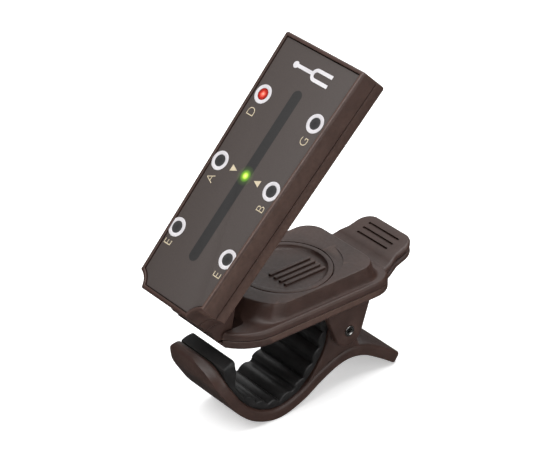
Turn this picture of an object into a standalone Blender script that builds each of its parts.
"""Clip-on tuner: a tilting display head on a spring clip, in metres, +Z up.

The clip stands on the belly and the tail of its lower jaw at z = 0. +Y runs from the nose,
where the head is hinged, to the finger tab. +X is the object's right-hand side.
"""

import math

import bmesh
import bpy
from mathutils import Matrix, Vector

MM = 0.001
GAP = 0.3 * MM

# Head, drawn in its own frame: the hinge axis is the origin, Y runs up the display, Z out of it.
HINGE_Y = -22.3 * MM
HINGE_Z = 29.2 * MM
HEAD_TILT = math.radians(45.7)
HEAD_LENGTH = 63.6 * MM
HEAD_BOTTOM = -2.0 * MM
HEAD_REAR = 4.0 * MM
HEAD_DEPTH = 8.3 * MM
HEAD_FRONT = HEAD_REAR + HEAD_DEPTH
HEAD_HALF_TOP = 13.0 * MM
SHOULDER_HALF = 11.05 * MM
SHOULDER_HEIGHT = 3.2 * MM
CORNER_X = 12.08 * MM
CORNER_Y = -0.87 * MM
CORNER_RADIUS = 4.2 * MM
HEAD_SEAM = HEAD_FRONT - 5.0 * MM
SEAM_HALF_GAP = GAP / 2
HEAD_EDGE_ROUND = 0.35 * MM
HEAD_WALL = 1.3 * MM
REAR_FLOOR = 1.3 * MM

# Display window and its seat in the front shell.
RIM_WIDTH = 0.95 * MM
LEDGE_WIDTH = 2.4 * MM
WINDOW_RECESS = 0.3 * MM
WINDOW_THICKNESS = 1.0 * MM
LEDGE_TOP = HEAD_FRONT - WINDOW_RECESS - WINDOW_THICKNESS - GAP
LEDGE_THICKNESS = 0.9 * MM

# Electronics behind the window.
STRING_LED_X = 8.73 * MM
STRING_LED_ROWS = [15.09 * MM, 32.07 * MM, 49.05 * MM]
METER_CENTRE = 32.07 * MM
METER_LED_PITCH = 5.0 * MM
METER_LED_COUNT = 9
BOARD_HALF_WIDTH = 9.6 * MM
BOARD_LOW = 14.5 * MM
BOARD_HIGH = 54.0 * MM
BOARD_REAR = 7.6 * MM
BOARD_THICKNESS = 1.0 * MM

# Screws: self-tapping, one size for head and base.
SCREW_HEAD_RADIUS = 1.6 * MM
SCREW_HEAD_HEIGHT = 0.8 * MM
SCREW_SHANK_RADIUS = 0.75 * MM
HEAD_SCREWS = [(8.7 * MM, 12.0 * MM), (9.6 * MM, 58.0 * MM)]
BASE_SCREWS = [(8.9 * MM, -10.2 * MM), (6.4 * MM, 15.6 * MM)]
BOSS_RADIUS = 2.2 * MM

# Power button in the rear shell.
BUTTON_HEIGHT = 40.0 * MM
BUTTON_RADIUS = 3.0 * MM
BUTTON_FLANGE_RADIUS = 3.8 * MM
BUTTON_PROUD = 0.3 * MM

# Tilt hinge.
KNUCKLE_HALF_WIDTH = 7.6 * MM
KNUCKLE_INNER = 4.6 * MM
KNUCKLE_RADIUS = 2.8 * MM
LUG_HALF_WIDTH = 3.6 * MM
HINGE_PIN_RADIUS = 1.0 * MM
WASHER_THICKNESS = 0.4 * MM
WASHER_RADIUS = 2.4 * MM

# Base: flange outline, plateau outline and the heights between them.
BASE_BOTTOM = 24.6 * MM
BASE_SEAM = 26.7 * MM
CREST_Z = 28.6 * MM
PLATEAU_Z = 32.36 * MM
FLANGE_HALF = 13.5 * MM
NOSE_CENTRE_Y = -13.0 * MM
NOSE_LENGTH = 12.0 * MM
FLANGE_REAR = 22.0 * MM
REAR_CORNER_X = 4.0 * MM
REAR_CORNER_Y = 5.5 * MM
PLATEAU_FRONT_HALF = 11.7 * MM
PLATEAU_REAR_HALF = 11.6 * MM
PLATEAU_REAR = 18.15 * MM
PLATEAU_CORNER = 4.5 * MM
BASE_FLOOR = 1.2 * MM
BASE_WALL = 1.6 * MM

# Battery compartment.
PLATEAU_FRONT_Y = 2.73 * MM
DISC_Y = 0.9 * MM
COVER_RADIUS = 10.8 * MM
CELL_RADIUS = 10.0 * MM
CELL_BOTTOM = 26.6 * MM
CELL_HEIGHT = 3.2 * MM
COVER_RIM_Z = 31.4 * MM
COVER_GROOVE_Z = 30.9 * MM
COVER_BOTTOM = 30.1 * MM
DISH_RADIUS = 9.6 * MM
DISH_DEPTH = 0.8 * MM
COVER_RIB_X = 2.35 * MM
COVER_RIB_Y = (-4.2 * MM, 7.5 * MM)
COVER_RIB_PITCH = 1.75 * MM
COVER_RIB_COUNT = 4
LOCK_TURN = math.radians(40)

# Finger tab behind the plateau.
TAB_END = 32.5 * MM
TAB_ROOT_HALF = 9.8 * MM
TAB_END_HALF = 8.4 * MM
TAB_CORNER = 3.6 * MM
TAB_WAIST = [(9.2 * MM, 24.8 * MM), (8.5 * MM, 27.0 * MM)]
TAB_TOP_ROOT = 28.3 * MM
TAB_TOP_END = 31.7 * MM
TAB_ROOT_Y = 21.6 * MM
TAB_UPPER_THICKNESS = 1.7 * MM
TAB_LOWER_THICKNESS = 1.6 * MM
GROOVE_LENGTH = 10.2 * MM
GROOVE_WIDTH = 0.55 * MM
GROOVE_YS = [26.4 * MM, 28.15 * MM, 29.9 * MM]

# Pivot of the lower jaw, and the ears that carry it.
PIVOT_Y = 10.7 * MM
PIVOT_Z = 17.0 * MM
PIVOT_PIN_RADIUS = 1.25 * MM
PIVOT_PIN_BORE = 0.75 * MM
EAR_INNER = 8.9 * MM
EAR_OUTER = 10.9 * MM
EAR_RADIUS = 3.9 * MM

# Lower jaw: one S-shaped strip with two webs up to the pivot.
LEVER_HALF_WIDTH = 8.5 * MM
LEVER_THICKNESS = 2.7 * MM
TIP_TOP = 19.1 * MM
TIP_CORNER = (11.0 * MM, 6.4 * MM)
TIP_TOOL_DEPTH = 11.0 * MM
LEVER_LINE = [(-23.5, 17.75), (-23.05, 15.0), (-21.45, 12.0), (-18.0, 7.0), (-13.3, 3.1), (-7.4, 1.37),
              (-1.2, 2.9), (4.2, 5.9), (9.2, 8.1), (13.6, 8.7), (18.2, 7.6), (23.2, 4.6), (27.6, 1.5)]
WEB_INNER = 6.6 * MM
WEB_RADIUS = 3.4 * MM
LINER_HALF_WIDTH = 7.8 * MM
LINER_RISE = [(2.6, 8.0), (5.6, 12.4), (6.9, 16.5), (7.0, 21.0)]
PAD_TOP_Z = 20.0 * MM
RIB_HEIGHT = 0.9 * MM
RIB_PITCH = 3.5 * MM

# Rubber pad under the nose.
UPPER_PAD_HALF = 6.6 * MM
UPPER_PAD_FRONT = -20.0 * MM
UPPER_PAD_REAR = -7.0 * MM
UPPER_PAD_THICKNESS = 2.0 * MM

# Torsion spring round the pivot pin.
SPRING_RADIUS = 2.05 * MM
SPRING_WIRE = 0.35 * MM
SPRING_TURNS = 5
SPRING_PITCH = 0.95 * MM
SPRING_SIDES = 12

COLOURS = {
    "brown_shell": ((0.066, 0.034, 0.026), 0.45, 0.0),
    "display_panel": ((0.100, 0.085, 0.080), 0.35, 0.0),
    "black_rubber": ((0.017, 0.016, 0.016), 0.65, 0.0),
    "steel": ((0.55, 0.54, 0.52), 0.30, 1.0),
    "spring_steel": ((0.40, 0.40, 0.41), 0.35, 1.0),
    "circuit_board": ((0.02, 0.12, 0.05), 0.50, 0.0),
    "led_clear": ((0.75, 0.76, 0.74), 0.25, 0.0),
    "meter_diffuser": ((0.80, 0.80, 0.78), 0.40, 0.0),
    "chip_black": ((0.015, 0.015, 0.016), 0.55, 0.0),
    "button_dark": ((0.030, 0.022, 0.020), 0.45, 0.0),
    "brass": ((0.60, 0.42, 0.18), 0.35, 1.0),
    "washer_nylon": ((0.70, 0.68, 0.62), 0.50, 0.0),
}


def clear_scene():
    for item in list(bpy.data.objects):
        bpy.data.objects.remove(item, do_unlink=True)


def new_collection(name):
    collection = bpy.data.collections.new(name)
    bpy.context.scene.collection.children.link(collection)
    return collection


def make_material(name):
    colour, roughness, metallic = COLOURS[name]
    material = bpy.data.materials.new(name)
    material.use_nodes = True
    shader = material.node_tree.nodes["Principled BSDF"]
    shader.inputs["Base Color"].default_value = (*colour, 1.0)
    shader.inputs["Roughness"].default_value = roughness
    shader.inputs["Metallic"].default_value = metallic
    return material


clear_scene()
PARTS = new_collection("clip_on_tuner")
CUTTERS = new_collection("cutters")
MATERIALS = {name: make_material(name) for name in COLOURS}

# Axes for a flat outline: plan keeps X and Y, side draws (Y, Z) and thickens along X.
PLAN = Matrix.Identity(4)
SIDE = Matrix(((0, 0, 1, 0), (1, 0, 0, 0), (0, 1, 0, 0), (0, 0, 0, 1)))


def place(obj, parent):
    if parent is not None:
        obj.parent = parent
    return obj


def add_part(name, mesh, material, parent=None):
    mesh.name = name
    mesh.materials.clear()
    mesh.materials.append(MATERIALS[material])
    mesh.shade_smooth()
    mesh.set_sharp_from_angle(angle=math.radians(35))
    obj = bpy.data.objects.new(name, mesh)
    PARTS.objects.link(obj)
    return place(obj, parent)


def add_tool(name, mesh, parent=None):
    obj = bpy.data.objects.new(name, mesh)
    CUTTERS.objects.link(obj)
    obj.hide_render = True
    obj.display_type = "WIRE"
    return place(obj, parent)


def boolean(obj, tool, operation):
    modifier = obj.modifiers.new(operation.lower(), "BOOLEAN")
    modifier.operation = operation
    modifier.solver = "EXACT"
    modifier.object = tool


def cut(obj, mesh, parent=None):
    boolean(obj, add_tool(obj.name + "_cutter", mesh, parent), "DIFFERENCE")


def join(obj, mesh, parent=None):
    boolean(obj, add_tool(obj.name + "_boss", mesh, parent), "UNION")


def arc(centre, radii, start, end, steps):
    """Points on an ellipse from start to end, in degrees, both ends included."""
    points = []
    for step in range(steps + 1):
        angle = math.radians(start + (end - start) * step / steps)
        points.append((centre[0] + radii[0] * math.cos(angle), centre[1] + radii[1] * math.sin(angle)))
    return points


def smooth_line(knots, steps):
    """Catmull-Rom line through the knots, with the given steps between two knots."""
    ends = [tuple(2 * a - b for a, b in zip(knots[0], knots[1])),
            tuple(2 * a - b for a, b in zip(knots[-1], knots[-2]))]
    padded = [ends[0], *knots, ends[1]]
    line = []
    for p0, p1, p2, p3 in zip(padded, padded[1:], padded[2:], padded[3:]):
        for step in range(steps):
            t = step / steps
            line.append(tuple(0.5 * (2 * b + (c - a) * t + (2 * a - 5 * b + 4 * c - d) * t ** 2
                                     + (3 * b - a - 3 * c + d) * t ** 3)
                              for a, b, c, d in zip(p0, p1, p2, p3)))
    line.append(tuple(knots[-1]))
    return line


def outline_mesh(loops, thickness, centre=0.0, axes=PLAN, rounding=0.0):
    """A flat outline thickened to both sides of centre. Rounding eases its edges inside the outline.

    It is drawn a thousand times larger and scaled back, because filling a curve merges points
    that are closer than 0.03 mm.
    """
    curve = bpy.data.curves.new("outline", "CURVE")
    curve.dimensions = "2D"
    curve.fill_mode = "BOTH"
    curve.extrude = (thickness / 2 - rounding) / MM
    curve.bevel_depth = rounding / MM
    curve.bevel_resolution = 0
    curve.offset = -rounding / MM
    for loop in loops:
        spline = curve.splines.new("POLY")
        spline.points.add(len(loop) - 1)
        for point, (x, y) in zip(spline.points, loop):
            point.co = (x / MM, y / MM, 0.0, 1.0)
        spline.use_cyclic_u = True
    drawn = bpy.data.objects.new("outline", curve)
    bpy.context.scene.collection.objects.link(drawn)
    evaluated = drawn.evaluated_get(bpy.context.evaluated_depsgraph_get())
    mesh = bpy.data.meshes.new_from_object(evaluated)
    bpy.data.objects.remove(drawn)
    bpy.data.curves.remove(curve)
    weld(mesh, 0.001)
    mesh.transform(axes @ Matrix.Translation((0, 0, centre)) @ Matrix.Scale(MM, 4))
    return mesh


def weld(mesh, distance):
    work = bmesh.new()
    work.from_mesh(mesh)
    bmesh.ops.remove_doubles(work, verts=work.verts, dist=distance)
    bmesh.ops.recalc_face_normals(work, faces=work.faces)
    work.to_mesh(mesh)
    work.free()


def box_mesh(low, high):
    work = bmesh.new()
    bmesh.ops.create_cube(work, size=1.0)
    size = [b - a for a, b in zip(low, high)]
    middle = [(a + b) / 2 for a, b in zip(low, high)]
    move = Matrix.Translation(middle) @ Matrix.Diagonal((*size, 1.0))
    bmesh.ops.transform(work, matrix=move, verts=work.verts)
    mesh = bpy.data.meshes.new("box")
    work.to_mesh(mesh)
    work.free()
    return mesh


def rod_mesh(radius, low, high, centre=(0.0, 0.0), axes=PLAN, segments=16, top_radius=None):
    """A round bar along the thickening direction of axes, from low to high."""
    work = bmesh.new()
    bmesh.ops.create_cone(work, cap_ends=True, segments=segments, radius1=radius,
                          radius2=radius if top_radius is None else top_radius, depth=high - low)
    move = axes @ Matrix.Translation((centre[0], centre[1], (low + high) / 2))
    bmesh.ops.transform(work, matrix=move, verts=work.verts)
    mesh = bpy.data.meshes.new("rod")
    work.to_mesh(mesh)
    work.free()
    return mesh


def turned_mesh(profile, centre, segments=48):
    """A profile of (radius, z), down the outer side first, turned about a vertical line."""
    work = bmesh.new()
    corners = [work.verts.new((radius, 0.0, z)) for radius, z in profile]
    for first, second in zip(corners, corners[1:]):
        work.edges.new((first, second))
    mesh = bpy.data.meshes.new("profile")
    work.to_mesh(mesh)
    work.free()
    drawn = bpy.data.objects.new("profile", mesh)
    bpy.context.scene.collection.objects.link(drawn)
    screw = drawn.modifiers.new("screw", "SCREW")
    screw.steps = segments
    screw.render_steps = segments
    screw.use_merge_vertices = True
    screw.merge_threshold = 0.00001
    turned = bpy.data.meshes.new_from_object(drawn.evaluated_get(bpy.context.evaluated_depsgraph_get()))
    bpy.data.objects.remove(drawn)
    weld(turned, 0.000001)
    turned.transform(Matrix.Translation((centre[0], centre[1], 0.0)))
    return turned


def head_outline(inset):
    """The headstock shape of the display, inset by a constant distance, up from its bottom edge."""
    taper = (HEAD_HALF_TOP - SHOULDER_HALF) / (HEAD_LENGTH - SHOULDER_HEIGHT)
    radius = CORNER_RADIUS + inset
    side_x = SHOULDER_HALF - taper * SHOULDER_HEIGHT - inset - CORNER_X
    a = 1 + taper ** 2
    b = side_x * taper - CORNER_Y
    c = side_x ** 2 + CORNER_Y ** 2 - radius ** 2
    shoulder_y = (-b + math.sqrt(b ** 2 - a * c)) / a
    shoulder_x = side_x + taper * shoulder_y
    foot_y = inset - CORNER_Y
    foot_x = -math.sqrt(radius ** 2 - foot_y ** 2)
    start = math.degrees(math.atan2(shoulder_y - CORNER_Y, shoulder_x))
    end = math.degrees(math.atan2(foot_y, foot_x))
    corner = arc((CORNER_X, CORNER_Y), (radius, radius), start, end, 5)
    top_y = HEAD_LENGTH - inset
    top_x = side_x + CORNER_X + taper * top_y
    right = [(top_x, top_y), *corner]
    left = [(-x, y) for x, y in reversed(right)]
    return [(x, y + HEAD_BOTTOM) for x, y in right + left]


def flange_outline(inset=0.0):
    nose = arc((0, NOSE_CENTRE_Y), (FLANGE_HALF - inset, NOSE_LENGTH - inset), -180, 0, 24)
    corner_centre = (FLANGE_HALF - REAR_CORNER_X, FLANGE_REAR - REAR_CORNER_Y)
    corner = arc(corner_centre, (REAR_CORNER_X - inset, REAR_CORNER_Y - inset), 0, 90, 6)
    return nose + corner + [(-x, y) for x, y in reversed(corner)]


def plateau_outline():
    radius = 17.2 * MM
    turn = 42
    front = arc((0, PLATEAU_FRONT_Y), (radius, radius), -90 - turn + 4, -90 + turn - 4, 14)
    centre = (PLATEAU_REAR_HALF - PLATEAU_CORNER, PLATEAU_REAR - PLATEAU_CORNER)
    corner = arc(centre, (PLATEAU_CORNER, PLATEAU_CORNER), 5, 90, 5)
    right = [(PLATEAU_FRONT_HALF, -8.5 * MM), *corner]
    return front + right + [(-x, y) for x, y in reversed(right)]


def radial_points(outline, count):
    """The outline read along count rays from the origin, so that unlike outlines can be lofted."""
    points = []
    closed = outline + outline[:1]
    for index in range(count):
        angle = 2 * math.pi * index / count
        ray = Vector((math.cos(angle), math.sin(angle)))
        reach = 0.0
        for first, second in zip(closed, closed[1:]):
            start, side = Vector(first), Vector(second) - Vector(first)
            across = ray.cross(side)
            if abs(across) < 1e-12:
                continue
            along = start.cross(side) / across
            share = start.cross(ray) / across
            if -1e-9 <= share <= 1 + 1e-9 and along > reach:
                reach = along
        points.append(ray * reach)
    return points


def loft_mesh(rings):
    """A closed skin over horizontal rings with equal point counts, bottom ring first."""
    work = bmesh.new()
    rows = [[work.verts.new(point) for point in ring] for ring in rings]
    count = len(rows[0])
    for lower, upper in zip(rows, rows[1:]):
        for index in range(count):
            after = (index + 1) % count
            work.faces.new((lower[index], lower[after], upper[after], upper[index]))
    work.faces.new(list(reversed(rows[0])))
    work.faces.new(rows[-1])
    mesh = bpy.data.meshes.new("loft")
    work.to_mesh(mesh)
    work.free()
    return mesh


def screw_mesh(low, direction, shank_length):
    """A pan-head screw: head from low, shank on along direction (+1 or -1)."""
    head = SCREW_HEAD_HEIGHT * direction
    profile = [(0.0, low), (SCREW_HEAD_RADIUS * 0.8, low), (SCREW_HEAD_RADIUS, low + head * 0.35),
               (SCREW_HEAD_RADIUS, low + head), (SCREW_SHANK_RADIUS, low + head),
               (SCREW_SHANK_RADIUS, low + head + direction * (shank_length - 0.8 * MM)),
               (0.0, low + head + direction * shank_length)]
    if direction > 0:
        profile.reverse()
    return turned_mesh(profile, (0.0, 0.0), 12)


def head_pivot():
    """The head's frame, on the hinge axis and tilted back with the display."""
    pivot = bpy.data.objects.new("head_pivot", None)
    PARTS.objects.link(pivot)
    pivot.location = (0.0, HINGE_Y, HINGE_Z)
    pivot.rotation_euler = (HEAD_TILT, 0.0, 0.0)
    return pivot


def slab(outline, low, high, rounding=0.0):
    return outline_mesh([outline], high - low, (low + high) / 2, PLAN, rounding)


def knuckle_outline(radius):
    """Side shape of the head's hinge block: the barrel, then the heel up to the rear face."""
    edge = math.degrees(math.acos(HEAD_BOTTOM / radius))
    barrel = arc((0.0, 0.0), (radius, radius), edge, 318, 8)
    heel = [(4.7 * MM, -0.2 * MM), (6.4 * MM, 1.1 * MM), (7.6 * MM, 2.6 * MM),
            (8.4 * MM, HEAD_REAR + 0.4 * MM)]
    return [(HEAD_BOTTOM, HEAD_REAR + 0.4 * MM), *barrel, *heel]


def make_head_shells(pivot):
    front_low = HEAD_SEAM + SEAM_HALF_GAP
    rear_high = HEAD_SEAM - SEAM_HALF_GAP
    ledge_low = LEDGE_TOP - LEDGE_THICKNESS
    front = add_part("head_front_shell", slab(head_outline(0.0), front_low, HEAD_FRONT, HEAD_EDGE_ROUND),
                     "brown_shell", pivot)
    cut(front, slab(head_outline(RIM_WIDTH), LEDGE_TOP, HEAD_FRONT + 1 * MM), pivot)
    cut(front, slab(head_outline(LEDGE_WIDTH), ledge_low - 1 * MM, HEAD_FRONT), pivot)
    cut(front, slab(head_outline(HEAD_WALL), front_low - 1 * MM, ledge_low), pivot)

    rear = add_part("head_rear_shell", slab(head_outline(0.1 * MM), HEAD_REAR, rear_high, HEAD_EDGE_ROUND),
                    "brown_shell", pivot)
    cut(rear, slab(head_outline(HEAD_WALL + 0.2 * MM), HEAD_REAR + REAR_FLOOR, rear_high + 1 * MM), pivot)
    for side in (-1, 1):
        middle = side * (KNUCKLE_HALF_WIDTH + KNUCKLE_INNER) / 2
        width = KNUCKLE_HALF_WIDTH - KNUCKLE_INNER
        join(rear, outline_mesh([knuckle_outline(KNUCKLE_RADIUS)], width, middle, SIDE), pivot)
    hole_low = -KNUCKLE_HALF_WIDTH - 1 * MM
    hole_high = KNUCKLE_HALF_WIDTH - 0.7 * MM
    cut(rear, rod_mesh(HINGE_PIN_RADIUS + GAP, hole_low, hole_high, axes=SIDE), pivot)

    for index, (x, y) in enumerate(HEAD_SCREWS):
        for side in (-1, 1):
            centre = (side * x, y + HEAD_BOTTOM)
            shank = SCREW_SHANK_RADIUS + GAP
            join(front, rod_mesh(BOSS_RADIUS, front_low, LEDGE_TOP, centre), pivot)
            cut(front, rod_mesh(shank, front_low - 1 * MM, LEDGE_TOP - 0.7 * MM, centre), pivot)
            join(rear, rod_mesh(BOSS_RADIUS + 0.2 * MM, HEAD_REAR + 0.2 * MM, rear_high, centre), pivot)
            sink = rod_mesh(SCREW_HEAD_RADIUS + GAP, HEAD_REAR - 1 * MM, HEAD_REAR + 1.2 * MM, centre)
            cut(rear, sink, pivot)
            cut(rear, rod_mesh(shank, HEAD_REAR, rear_high + 1 * MM, centre), pivot)
            screw = screw_mesh(HEAD_REAR + 0.1 * MM, 1, 4.6 * MM)
            screw.transform(Matrix.Translation((centre[0], centre[1], 0.0)))
            add_part(f"head_screw_{2 * index + (side + 3) // 2}", screw, "steel", pivot)

    button_centre = (0.0, BUTTON_HEIGHT + HEAD_BOTTOM)
    cut(rear, rod_mesh(BUTTON_RADIUS + GAP, HEAD_REAR - 1 * MM, HEAD_REAR + 3 * MM, button_centre), pivot)


def led_mesh(centre, low, height):
    """A surface-mount LED, 1.2 mm across and 0.8 mm tall on the board."""
    x, y = centre
    return box_mesh((x - 0.6 * MM, y - 0.4 * MM, low), (x + 0.6 * MM, y + 0.4 * MM, low + height))


def make_display(pivot):
    low = LEDGE_TOP + GAP
    window = slab(head_outline(RIM_WIDTH + 0.25 * MM), low, low + WINDOW_THICKNESS)
    add_part("display_window", window, "display_panel", pivot)
    board_front = BOARD_REAR + BOARD_THICKNESS
    board = box_mesh((-BOARD_HALF_WIDTH, BOARD_LOW + HEAD_BOTTOM, BOARD_REAR),
                     (BOARD_HALF_WIDTH, BOARD_HIGH + HEAD_BOTTOM, board_front))
    add_part("led_board", board, "circuit_board", pivot)
    led_low = board_front + GAP
    number = 0
    for row in STRING_LED_ROWS:
        for side in (-1, 1):
            number += 1
            centre = (side * STRING_LED_X, row + HEAD_BOTTOM)
            add_part(f"string_led_{number}", led_mesh(centre, led_low, 0.6 * MM), "led_clear", pivot)
    for index in range(METER_LED_COUNT):
        y = METER_CENTRE + HEAD_BOTTOM + (index - (METER_LED_COUNT - 1) / 2) * METER_LED_PITCH
        add_part(f"meter_led_{index + 1}", led_mesh((0.0, y), led_low, 0.5 * MM), "led_clear", pivot)
    guide_half = (METER_LED_COUNT - 1) / 2 * METER_LED_PITCH + 1.2 * MM
    middle = METER_CENTRE + HEAD_BOTTOM
    guide = box_mesh((-1.3 * MM, middle - guide_half, led_low + 0.8 * MM),
                     (1.3 * MM, middle + guide_half, led_low + 1.2 * MM))
    add_part("meter_diffuser", guide, "meter_diffuser", pivot)
    chip = box_mesh((-3.0 * MM, 21.0 * MM, BOARD_REAR - 1.2 * MM), (3.0 * MM, 27.0 * MM, BOARD_REAR - GAP))
    add_part("tuner_chip", chip, "chip_black", pivot)


def make_power_button(pivot):
    centre = (0.0, BUTTON_HEIGHT + HEAD_BOTTOM)
    inner = HEAD_REAR + REAR_FLOOR + GAP
    face = HEAD_REAR - BUTTON_PROUD
    profile = [(0.0, inner + 0.5 * MM), (BUTTON_FLANGE_RADIUS, inner + 0.5 * MM),
               (BUTTON_FLANGE_RADIUS, inner), (BUTTON_RADIUS, inner), (BUTTON_RADIUS, HEAD_REAR),
               (BUTTON_RADIUS - 0.3 * MM, face), (0.0, face)]
    add_part("power_button", turned_mesh(profile, centre, 32), "button_dark", pivot)
    low = inner + 1.0 * MM
    half = 1.6 * MM
    switch = box_mesh((-half, centre[1] - half, low), (half, centre[1] + half, BOARD_REAR - GAP))
    add_part("tact_switch", switch, "chip_black", pivot)


def make_hinge_fittings(pivot):
    reach = KNUCKLE_HALF_WIDTH - 1.1 * MM
    add_part("hinge_pin", rod_mesh(HINGE_PIN_RADIUS, -reach, reach, axes=SIDE), "steel", pivot)
    for name, side in (("hinge_washer_left", -1), ("hinge_washer_right", 1)):
        centre = side * (LUG_HALF_WIDTH + KNUCKLE_INNER) / 2
        ring = [arc((0, 0), (WASHER_RADIUS, WASHER_RADIUS), 0, 345, 23),
                arc((0, 0), (HINGE_PIN_RADIUS + GAP, HINGE_PIN_RADIUS + GAP), 0, 337.5, 15)]
        add_part(name, outline_mesh(ring, WASHER_THICKNESS, centre, SIDE), "washer_nylon", pivot)


def base_rings():
    """Flange side, rounded lip, cove and plateau edge, each by its share of the way to the plateau."""
    levels = [(0.0, BASE_SEAM + SEAM_HALF_GAP), (0.0, 27.7 * MM), (0.13, 28.3 * MM), (0.32, CREST_Z),
              (0.52, CREST_Z), (0.68, 28.65 * MM), (0.80, 28.9 * MM), (0.88, 29.6 * MM),
              (0.93, 30.7 * MM), (0.965, 31.9 * MM), (1.0, PLATEAU_Z)]
    outer = radial_points(flange_outline(), 60)
    inner = radial_points(plateau_outline(), 60)
    return [[(*first.lerp(second, share), height) for first, second in zip(outer, inner)]
            for share, height in levels]


def tab_outline(inset=0.0):
    """Finger tab in plan, from inside the flange to the rounded end."""
    end = TAB_END - inset
    corner = arc((TAB_END_HALF - TAB_CORNER, end - TAB_CORNER), (TAB_CORNER - inset, TAB_CORNER), 0, 90, 6)
    waist = [(x - inset, y) for x, y in TAB_WAIST]
    right = [(TAB_ROOT_HALF - inset, 18.5 * MM), (TAB_ROOT_HALF - inset, 23.0 * MM), *waist, *corner]
    return right + [(-x, y) for x, y in reversed(right)]


def tab_side(top_offset, thickness):
    """Sloping side shape of the tab, rising to its end."""
    root_y = 20.6 * MM
    drop_root = TAB_TOP_ROOT - top_offset
    drop_end = TAB_TOP_END - top_offset
    far = TAB_END + 1 * MM
    top = [(root_y, drop_root - 0.2 * MM), (TAB_ROOT_Y, drop_root), (far, drop_end)]
    return top + [(far, drop_end - thickness), (TAB_ROOT_Y, drop_root - thickness),
                  (root_y, drop_root - thickness)]


def tab_mesh(top_offset, thickness):
    """The tab's plan shape, kept only where its sloping side shape is."""
    plan = bpy.data.objects.new("plan", slab(tab_outline(), 22 * MM, 34 * MM))
    side = bpy.data.objects.new("side", outline_mesh([tab_side(top_offset, thickness)], 40 * MM, 0.0, SIDE))
    for obj in (plan, side):
        bpy.context.scene.collection.objects.link(obj)
    boolean(plan, side, "INTERSECT")
    mesh = bpy.data.meshes.new_from_object(plan.evaluated_get(bpy.context.evaluated_depsgraph_get()))
    bpy.data.objects.remove(plan)
    bpy.data.objects.remove(side)
    return mesh


def bay_side():
    """Side shape of the space at the nose that the head's hinge block turns in."""
    clear = KNUCKLE_RADIUS + 0.35 * MM
    barrel = arc((HINGE_Y, HINGE_Z), (clear, clear), 240, 310, 5)
    front = -27 * MM
    return [(front, 36 * MM), (front, BASE_SEAM), (HINGE_Y - 0.6 * clear, BASE_SEAM), *barrel,
            (HINGE_Y + 5.1 * MM, HINGE_Z - 0.9 * MM), (HINGE_Y + 8.3 * MM, PLATEAU_Z),
            (HINGE_Y + 9.5 * MM, 36 * MM)]


def lug_side():
    """Side shape of the base's hinge lug, from the bay's rear wall forward round the pin."""
    radius = KNUCKLE_RADIUS - 0.1 * MM
    nose = arc((HINGE_Y, HINGE_Z), (radius, radius), 60, 240, 9)
    low = BASE_SEAM + SEAM_HALF_GAP
    return [(HINGE_Y, low), (HINGE_Y + 7.0 * MM, low), (HINGE_Y + 7.0 * MM, HINGE_Z - 0.6 * MM),
            (HINGE_Y + 4.0 * MM, HINGE_Z + 0.4 * MM), *nose]


def make_base_upper_shell():
    upper = add_part("base_upper_shell", loft_mesh(base_rings()), "brown_shell")
    join(upper, tab_mesh(0.0, TAB_UPPER_THICKNESS))
    bay_half = KNUCKLE_HALF_WIDTH + 0.35 * MM
    cut(upper, outline_mesh([bay_side()], 2 * bay_half, 0.0, SIDE))
    join(upper, outline_mesh([lug_side()], 2 * LUG_HALF_WIDTH, 0.0, SIDE))
    cut(upper, rod_mesh(HINGE_PIN_RADIUS + GAP, -5 * MM, 5 * MM, (HINGE_Y, HINGE_Z), SIDE))
    bore = [(COVER_RADIUS + GAP, PLATEAU_Z + 1 * MM), (COVER_RADIUS + GAP, COVER_RIM_Z),
            (CELL_RADIUS + 0.25 * MM, COVER_RIM_Z), (CELL_RADIUS + 0.25 * MM, COVER_GROOVE_Z),
            (CELL_RADIUS + 0.7 * MM, COVER_GROOVE_Z), (CELL_RADIUS + 0.7 * MM, BASE_BOTTOM)]
    profile = [(0.0, PLATEAU_Z + 1 * MM), *bore, (0.0, BASE_BOTTOM)]
    cut(upper, turned_mesh(profile, (0.0, DISC_Y), 40))
    cut(upper, box_mesh((-5 * MM, -16.0 * MM, 25 * MM), (5 * MM, -6.0 * MM, 28.1 * MM)))
    for x, y in BASE_SCREWS:
        for side in (-1, 1):
            cut(upper, rod_mesh(SCREW_SHANK_RADIUS + GAP, 25 * MM, 30.4 * MM, (side * x, y)))
    for turn in (LOCK_TURN, LOCK_TURN + math.pi):
        notch = box_mesh((-1.3 * MM, 0.0, COVER_GROOVE_Z - 0.2 * MM),
                         (1.3 * MM, CELL_RADIUS + 0.65 * MM, COVER_RIM_Z + 0.2 * MM))
        notch.transform(Matrix.Translation((0, DISC_Y, 0)) @ Matrix.Rotation(turn, 4, "Z"))
        cut(upper, notch)
    for y in GROOVE_YS:
        slope = (TAB_TOP_END - TAB_TOP_ROOT) / (TAB_END + 1 * MM - TAB_ROOT_Y)
        top = TAB_TOP_ROOT + slope * (y - TAB_ROOT_Y)
        cut(upper, box_mesh((-GROOVE_LENGTH / 2, y - GROOVE_WIDTH / 2, top - 0.5 * MM),
                            (GROOVE_LENGTH / 2, y + GROOVE_WIDTH / 2, top + 1 * MM)))


def ear_side():
    round_end = arc((PIVOT_Y, PIVOT_Z), (EAR_RADIUS, EAR_RADIUS), 197, 340, 8)
    return [(3.3 * MM, BASE_BOTTOM + 0.8 * MM), *round_end, (17.6 * MM, BASE_BOTTOM + 0.8 * MM)]


def nose_bevel_mesh():
    """Tool that slopes off the underside of the lower shell's nose."""
    outline = [(-18.2 * MM, 20.0 * MM), (-22.1 * MM, BASE_BOTTOM), (-23.95 * MM, BASE_SEAM),
               (-25.7 * MM, 28.7 * MM), (-32.0 * MM, 28.7 * MM), (-32.0 * MM, 20.0 * MM)]
    return outline_mesh([outline], 4 * FLANGE_HALF, 0.0, SIDE)


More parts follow.
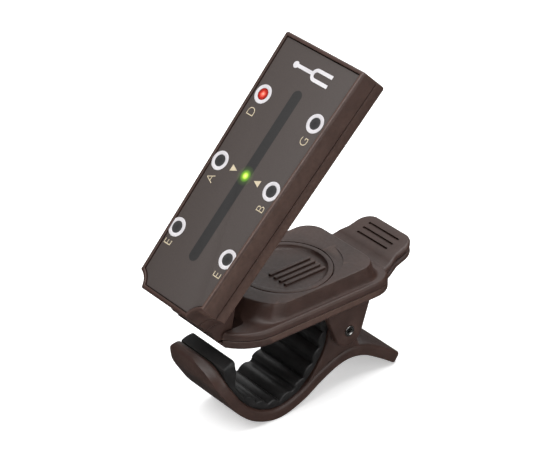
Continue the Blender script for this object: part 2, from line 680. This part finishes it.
def make_base_lower_shell():
    high = BASE_SEAM - SEAM_HALF_GAP
    lower = add_part("base_lower_shell", slab(flange_outline(), BASE_BOTTOM, high, 0.4 * MM), "brown_shell")
    hollow = flange_outline(BASE_WALL)
    cut(lower, slab(hollow, BASE_BOTTOM + BASE_FLOOR, high + 1 * MM))
    join(lower, tab_mesh(TAB_UPPER_THICKNESS + GAP, TAB_LOWER_THICKNESS))
    join(lower, slab([(-9 * MM, 19.6 * MM), (9 * MM, 19.6 * MM), (9 * MM, 21.8 * MM), (-9 * MM, 21.8 * MM)],
                     BASE_BOTTOM + 0.4 * MM, high))
    nose = [(-5.5 * MM, -23.8 * MM), (5.5 * MM, -23.8 * MM), (5.5 * MM, -21.5 * MM), (-5.5 * MM, -21.5 * MM)]
    join(lower, slab(nose, BASE_BOTTOM + 0.4 * MM, high))
    cut(lower, nose_bevel_mesh())
    clear = KNUCKLE_RADIUS + 0.35 * MM
    bay_half = KNUCKLE_HALF_WIDTH + 0.35 * MM
    cut(lower, rod_mesh(clear, -bay_half, bay_half, (HINGE_Y, HINGE_Z), SIDE))
    for side in (-1, 1):
        middle = side * (EAR_INNER + EAR_OUTER) / 2
        join(lower, outline_mesh([ear_side()], EAR_OUTER - EAR_INNER, middle, SIDE, 0.25 * MM))
    reach = EAR_OUTER + 1 * MM
    cut(lower, rod_mesh(PIVOT_PIN_RADIUS + GAP, -reach, reach, (PIVOT_Y, PIVOT_Z), SIDE))
    for index, (x, y) in enumerate(BASE_SCREWS):
        for side in (-1, 1):
            centre = (side * x, y)
            join(lower, rod_mesh(BOSS_RADIUS, BASE_BOTTOM + 0.3 * MM, high, centre))
            sink = rod_mesh(SCREW_HEAD_RADIUS + GAP, BASE_BOTTOM - 1 * MM, BASE_BOTTOM + 1.1 * MM, centre)
            cut(lower, sink)
            cut(lower, rod_mesh(SCREW_SHANK_RADIUS + GAP, BASE_BOTTOM, high + 1 * MM, centre))
            screw = screw_mesh(BASE_BOTTOM, 1, 4.6 * MM)
            screw.transform(Matrix.Translation((centre[0], centre[1], 0.0)))
            add_part(f"base_screw_{2 * index + (side + 3) // 2}", screw, "steel")


def make_battery_parts():
    profile = [(0.0, PLATEAU_Z - DISH_DEPTH), (0.35 * DISH_RADIUS, PLATEAU_Z - DISH_DEPTH * 0.92),
               (0.65 * DISH_RADIUS, PLATEAU_Z - DISH_DEPTH * 0.72),
               (0.88 * DISH_RADIUS, PLATEAU_Z - DISH_DEPTH * 0.4), (DISH_RADIUS, PLATEAU_Z),
               (COVER_RADIUS - 0.15 * MM, PLATEAU_Z), (COVER_RADIUS, PLATEAU_Z - 0.15 * MM),
               (COVER_RADIUS, COVER_RIM_Z + GAP), (CELL_RADIUS - 0.1 * MM, COVER_RIM_Z + GAP),
               (CELL_RADIUS - 0.1 * MM, COVER_BOTTOM), (CELL_RADIUS - 1.1 * MM, COVER_BOTTOM),
               (CELL_RADIUS - 1.1 * MM, COVER_BOTTOM + 0.5 * MM), (0.0, COVER_BOTTOM + 0.5 * MM)]
    cover = add_part("battery_cover", turned_mesh(profile, (0.0, 0.0), 40), "brown_shell")
    cover.location = (0.0, DISC_Y, 0.0)
    for side in (-1, 1):
        lug = box_mesh((-1.0 * MM, min(side * 9.4 * MM, side * 10.4 * MM), COVER_BOTTOM + 0.05 * MM),
                       (1.0 * MM, max(side * 9.4 * MM, side * 10.4 * MM), COVER_BOTTOM + 0.5 * MM))
        join(cover, lug, cover)
    for index in range(COVER_RIB_COUNT):
        x = COVER_RIB_X + (index - (COVER_RIB_COUNT - 1) / 2) * COVER_RIB_PITCH
        rib = box_mesh((x - 0.35 * MM, COVER_RIB_Y[0], PLATEAU_Z - 1.1 * MM),
                       (x + 0.35 * MM, COVER_RIB_Y[1], PLATEAU_Z - 0.35 * MM))
        join(cover, rib, cover)
    low = CELL_BOTTOM
    cell = [(0.0, low + CELL_HEIGHT), (CELL_RADIUS - 0.3 * MM, low + CELL_HEIGHT),
            (CELL_RADIUS, low + CELL_HEIGHT - 0.3 * MM), (CELL_RADIUS, low + 0.7 * MM),
            (CELL_RADIUS - 1.0 * MM, low + 0.3 * MM), (CELL_RADIUS - 1.1 * MM, low), (0.0, low)]
    add_part("coin_cell", turned_mesh(cell, (0.0, DISC_Y), 32), "steel")
    leaf_low = BASE_BOTTOM + BASE_FLOOR + GAP
    leaf = box_mesh((-2.2 * MM, DISC_Y - 6.5 * MM, leaf_low),
                    (2.2 * MM, DISC_Y + 6.5 * MM, leaf_low + 0.25 * MM))
    add_part("battery_contact_negative", leaf, "brass")
    edge = DISC_Y - CELL_RADIUS - GAP
    plate = box_mesh((-2.4 * MM, edge - 0.4 * MM, leaf_low), (2.4 * MM, edge, 27.8 * MM))
    add_part("battery_contact_positive", plate, "brass")
    disc = rod_mesh(2.9 * MM, leaf_low, leaf_low + 0.35 * MM, (0.0, -12.9 * MM), segments=32)
    add_part("piezo_pickup", disc, "brass")


def make_upper_pad():
    front = arc((0.0, UPPER_PAD_FRONT + 3 * MM), (UPPER_PAD_HALF, 3 * MM), -180, 0, 12)
    outline = [*front, (UPPER_PAD_HALF, UPPER_PAD_REAR), (-UPPER_PAD_HALF, UPPER_PAD_REAR)]
    top = BASE_BOTTOM - GAP
    add_part("upper_jaw_pad", slab(outline, top - UPPER_PAD_THICKNESS, top, 0.25 * MM), "black_rubber")


def offset_line(line, distance):
    """The line moved to its left by a distance given for each point."""
    moved = []
    for index, point in enumerate(line):
        before = Vector(line[max(index - 1, 0)])
        after = Vector(line[min(index + 1, len(line) - 1)])
        along = (after - before).normalized()
        shift = distance(index) if callable(distance) else distance
        moved.append((point[0] - along.y * shift, point[1] + along.x * shift))
    return moved


def lever_line(steps=3):
    return [(y * MM, z * MM) for y, z in smooth_line(LEVER_LINE, steps)]


def strip_outline():
    line = lever_line()
    half = LEVER_THICKNESS / 2
    left = offset_line(line, half)
    right = offset_line(line, -half)
    tip = arc(line[0], (half, half), 176, 4, 6)[1:-1]
    first, last = Vector(line[-2]), Vector(line[-1])
    heading = math.degrees(math.atan2(last.y - first.y, last.x - first.x))
    tail = arc(line[-1], (half, half), heading - 84, heading + 84, 6)
    return right + tail + list(reversed(left)) + list(reversed(tip))


def web_outline():
    """Side shape of the lever's two webs, from the strip up round the pivot pin."""
    top = arc((PIVOT_Y, PIVOT_Z), (WEB_RADIUS, WEB_RADIUS), -20, 165, 8)
    return [(0.8 * MM, 5.0 * MM), (6.0 * MM, 7.6 * MM), (12.0 * MM, 9.4 * MM), (16.4 * MM, 9.2 * MM),
            *top, (6.7 * MM, 14.2 * MM), (5.2 * MM, 11.0 * MM), (3.4 * MM, 8.4 * MM)]


def tip_corner_mesh():
    """Tool that takes the long curved corner off one side of the lever's tip, seen along the lever."""
    across, along = TIP_CORNER
    low = TIP_TOP - along
    curve = arc((LEVER_HALF_WIDTH - across, low), (across, along), 90, 0, 12)
    beyond = 2 * MM
    outline = [*curve, (LEVER_HALF_WIDTH + beyond, low), (LEVER_HALF_WIDTH + beyond, TIP_TOP + beyond),
               (LEVER_HALF_WIDTH - across, TIP_TOP + beyond)]
    face = Matrix(((1, 0, 0, 0), (0, 0, -1, 0), (0, 1, 0, 0), (0, 0, 0, 1)))
    return outline_mesh([outline], TIP_TOOL_DEPTH, -LEVER_LINE[0][0] * MM, face)


def make_jaw_lever():
    strip = outline_mesh([strip_outline()], 2 * LEVER_HALF_WIDTH, 0.0, SIDE, 0.35 * MM)
    lever = add_part("jaw_lever", strip, "brown_shell")
    cut(lever, tip_corner_mesh())
    for side in (-1, 1):
        middle = side * (WEB_INNER + LEVER_HALF_WIDTH - 0.4 * MM) / 2
        join(lever, outline_mesh([web_outline()], LEVER_HALF_WIDTH - 0.4 * MM - WEB_INNER, middle, SIDE))
    reach = LEVER_HALF_WIDTH + 1 * MM
    cut(lever, rod_mesh(PIVOT_PIN_RADIUS + GAP, -reach, reach, (PIVOT_Y, PIVOT_Z), SIDE))


def liner_outline():
    """Rubber liner: a thick pad inside the tip, then ribs round the throat."""
    line = lever_line(6)
    inner = offset_line(line, LEVER_THICKNESS / 2 + GAP)
    kept = [point for point in inner if point[1] < 19.0 * MM and point[0] < -1.0 * MM]
    rise = smooth_line([tuple(c / MM for c in kept[-1]), *LINER_RISE], 6)[1:]
    back = kept + [(y * MM, z * MM) for y, z in rise]
    lengths = [0.0]
    for first, second in zip(back, back[1:]):
        lengths.append(lengths[-1] + (Vector(second) - Vector(first)).length)
    ribs_start = 11.0 * MM

    def thickness(index):
        run = lengths[index]
        if run < ribs_start:
            fade = min(1.0, max(0.0, (run - 2.5 * MM) / (4.0 * MM)))
            return (2.9 - 1.7 * fade * fade * (3 - 2 * fade)) * MM
        wave = 0.5 - 0.5 * math.cos(2 * math.pi * (run - ribs_start) / RIB_PITCH)
        return 1.2 * MM + RIB_HEIGHT * wave

    front = offset_line(back, thickness)
    pad_edge = (front[0][0], PAD_TOP_Z)
    heel = (back[0][0], PAD_TOP_Z)
    return [heel, *back, *reversed(front), pad_edge]


def make_jaw_liner():
    add_part("jaw_liner", outline_mesh([liner_outline()], 2 * LINER_HALF_WIDTH, 0.0, SIDE), "black_rubber")


def make_pivot():
    reach = EAR_OUTER + 0.15 * MM
    rim = PIVOT_PIN_RADIUS
    pin = add_part("pivot_pin", rod_mesh(rim, -reach, reach, (PIVOT_Y, PIVOT_Z), SIDE), "steel")
    cut(pin, rod_mesh(PIVOT_PIN_BORE, -reach - 1 * MM, reach + 1 * MM, (PIVOT_Y, PIVOT_Z), SIDE, 16))


def spring_route():
    """Coil round the pin with one leg up to the base and one leg down into the lever."""
    width = SPRING_TURNS * SPRING_PITCH
    points = []
    steps = SPRING_TURNS * SPRING_SIDES + 3
    for step in range(steps + 1):
        angle = math.radians(60) + 2 * math.pi * step / SPRING_SIDES
        x = -width / 2 + width * step / steps
        y = PIVOT_Y + SPRING_RADIUS * math.cos(angle)
        points.append((x, y, PIVOT_Z + SPRING_RADIUS * math.sin(angle)))
    start, end = points[0], points[-1]
    first_leg = (start[0], start[1] + 1.2 * MM, BASE_BOTTOM - GAP - SPRING_WIRE)
    last_leg = (end[0], end[1] - 0.4 * MM, 10.9 * MM)
    return [first_leg, *points, last_leg]


def make_torsion_spring():
    curve = bpy.data.curves.new("torsion_spring", "CURVE")
    curve.dimensions = "3D"
    curve.bevel_depth = SPRING_WIRE
    curve.bevel_resolution = 1
    curve.use_fill_caps = True
    route = spring_route()
    spline = curve.splines.new("POLY")
    spline.points.add(len(route) - 1)
    for point, place_at in zip(spline.points, route):
        point.co = (*place_at, 1.0)
    drawn = bpy.data.objects.new("torsion_spring", curve)
    bpy.context.scene.collection.objects.link(drawn)
    mesh = bpy.data.meshes.new_from_object(drawn.evaluated_get(bpy.context.evaluated_depsgraph_get()))
    bpy.data.objects.remove(drawn)
    bpy.data.curves.remove(curve)
    weld(mesh, 0.00001)
    add_part("torsion_spring", mesh, "spring_steel")


def main():
    pivot = head_pivot()
    make_head_shells(pivot)
    make_display(pivot)
    make_power_button(pivot)
    make_hinge_fittings(pivot)
    make_base_upper_shell()
    make_base_lower_shell()
    make_battery_parts()
    make_upper_pad()
    make_jaw_lever()
    make_jaw_liner()
    make_pivot()
    make_torsion_spring()


main()
